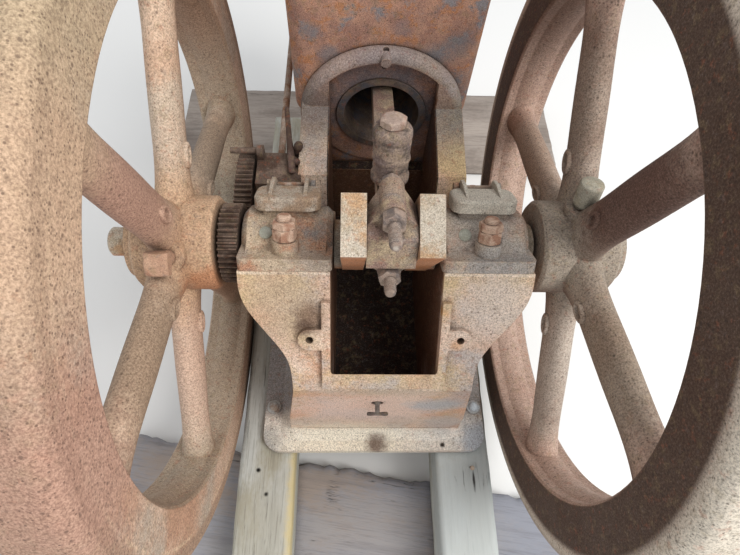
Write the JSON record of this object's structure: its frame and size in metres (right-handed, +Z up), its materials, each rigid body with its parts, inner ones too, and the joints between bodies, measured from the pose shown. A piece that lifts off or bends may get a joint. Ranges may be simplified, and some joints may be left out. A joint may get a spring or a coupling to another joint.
{
  "type": "stationary gas engine",
  "caption": "Horizontal hopper-cooled gas engine with open crank, spoked flywheels and timing gears, bolted to timber skids on cross boards; its oil box lids hinge open.",
  "frame": {"origin": "on the ground, under the middle of the box round the whole engine", "axes": "+X along the crankshaft to the right as seen from the crank end, +Y from the crank end to the cylinder head, +Z up"},
  "size_m": [0.9178, 1.1748, 0.82],
  "materials": {
    "frame_iron": "rusted, worn paint",
    "wheel_iron": "rusted",
    "hopper_iron": "rusted",
    "gear_iron": "rusted, oily",
    "rod_iron": "rusted",
    "crank_steel": "dull, rusted edges",
    "steel": "rusted",
    "cup_brass": "tarnished",
    "timber": "weathered grey"
  },
  "bodies": {
    "root": {"base_frame": "frame_iron", "bearing_cap_left": "frame_iron", "bearing_cap_right": "frame_iron", "lid_pin_left": "steel", "lid_pin_right": "steel", "cap_stud_left_front": "steel", "cap_stud_left_rear": "steel", "cap_stud_right_front": "steel", "cap_stud_right_rear": "steel", "crankshaft": "crank_steel", "shaft_collar": "steel", "flywheel_left": "wheel_iron", "flywheel_right": "wheel_iron", "hub_bolt_left": "steel", "hub_bolt_right": "steel", "crank_pinion": "gear_iron", "cam_gear": "gear_iron", "cam_gear_stud": "steel", "connecting_rod": "rod_iron", "rod_cap": "rod_iron", "rod_bolt_upper": "steel", "rod_bolt_lower": "steel", "rod_oil_cup": "cup_brass", "piston": "gear_iron", "wrist_pin": "steel", "hopper": "hopper_iron", "cylinder_head": "hopper_iron", "head_stud_upper_left": "steel", "head_stud_upper_right": "steel", "head_stud_lower_left": "steel", "head_stud_lower_right": "steel", "latch_bracket": "gear_iron", "push_rod": "steel", "rocker_arm": "gear_iron", "drain_stub": "steel", "base_bolt_front_left": "steel", "base_bolt_front_right": "steel", "base_bolt_rear_left": "steel", "base_bolt_rear_right": "steel", "skid_left": "timber", "skid_right": "timber", "cross_board_front": "timber", "cross_board_rear": "timber"},
    "lid_left": {"oil_lid_left": "frame_iron"},
    "lid_right": {"oil_lid_right": "frame_iron"}
  },
  "joints": [
    {"name": "lid_left_hinge", "type": "hinge", "parent": "root", "child": "lid_left", "pos_m": [-0.1145, -0.06334, 0.48594], "axis": [-1, 0, 0], "range_deg": [0, 100]},
    {"name": "lid_right_hinge", "type": "hinge", "parent": "root", "child": "lid_right", "pos_m": [0.1145, -0.06334, 0.48594], "axis": [-1, 0, 0], "range_deg": [0, 100]}
  ]
}
